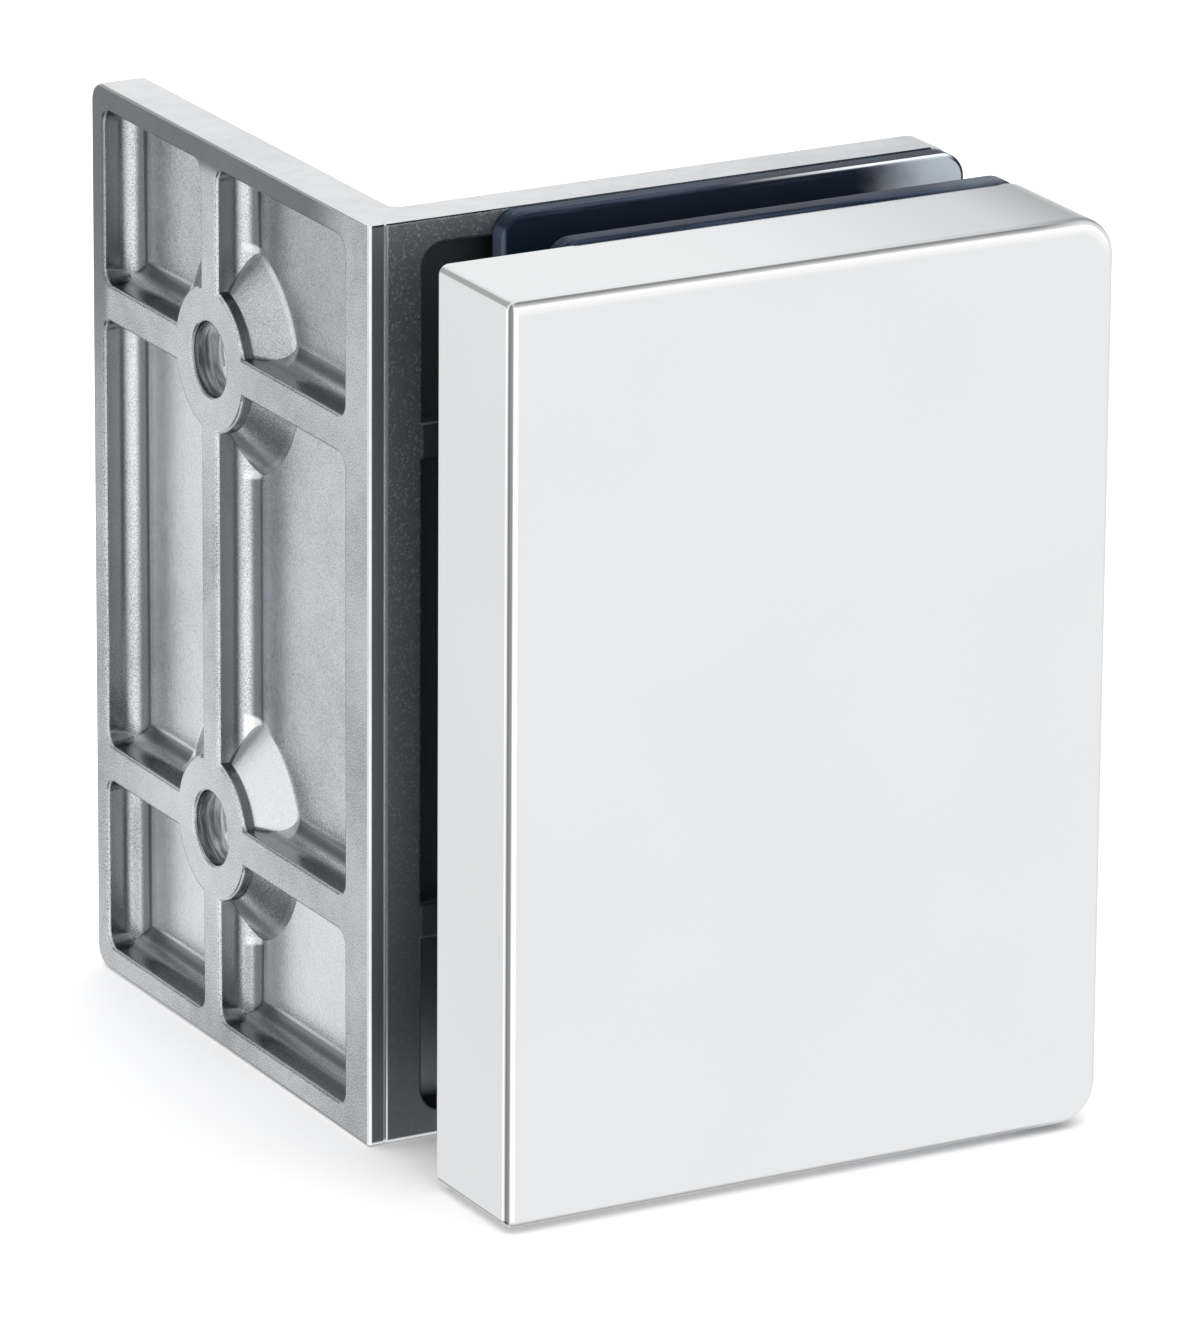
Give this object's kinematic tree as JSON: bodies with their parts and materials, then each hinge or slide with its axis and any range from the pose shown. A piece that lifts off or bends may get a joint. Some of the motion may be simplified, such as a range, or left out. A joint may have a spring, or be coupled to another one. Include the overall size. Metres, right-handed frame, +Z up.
{
  "type": "glass bracket",
  "caption": "Right-angle wall-to-glass bracket: ribbed cast L with countersunk wall holes, rubber gaskets and a plated front plate that clamps the glass edge.",
  "frame": {"origin": "on the wall plane, midway between the two wall-screw holes", "axes": "+X out of the wall along the glass, +Z up, -Y towards the front plate"},
  "size_m": [0.064, 0.0846, 0.09],
  "materials": {
    "cast_metal": "as-cast zinc alloy, satin plated on the outer edges",
    "gasket": "smooth dark blue-black",
    "plated_metal": "polished plating",
    "screw_steel": "plain stainless",
    "sleeve_plastic": "translucent white"
  },
  "bodies": {
    "root": {"wall_bracket": "cast_metal", "rear_gasket": "gasket", "front_gasket": "gasket", "front_plate": "plated_metal", "clamp_screws": "screw_steel", "upper_sleeve": "sleeve_plastic", "lower_sleeve": "sleeve_plastic"}
  },
  "joints": []
}
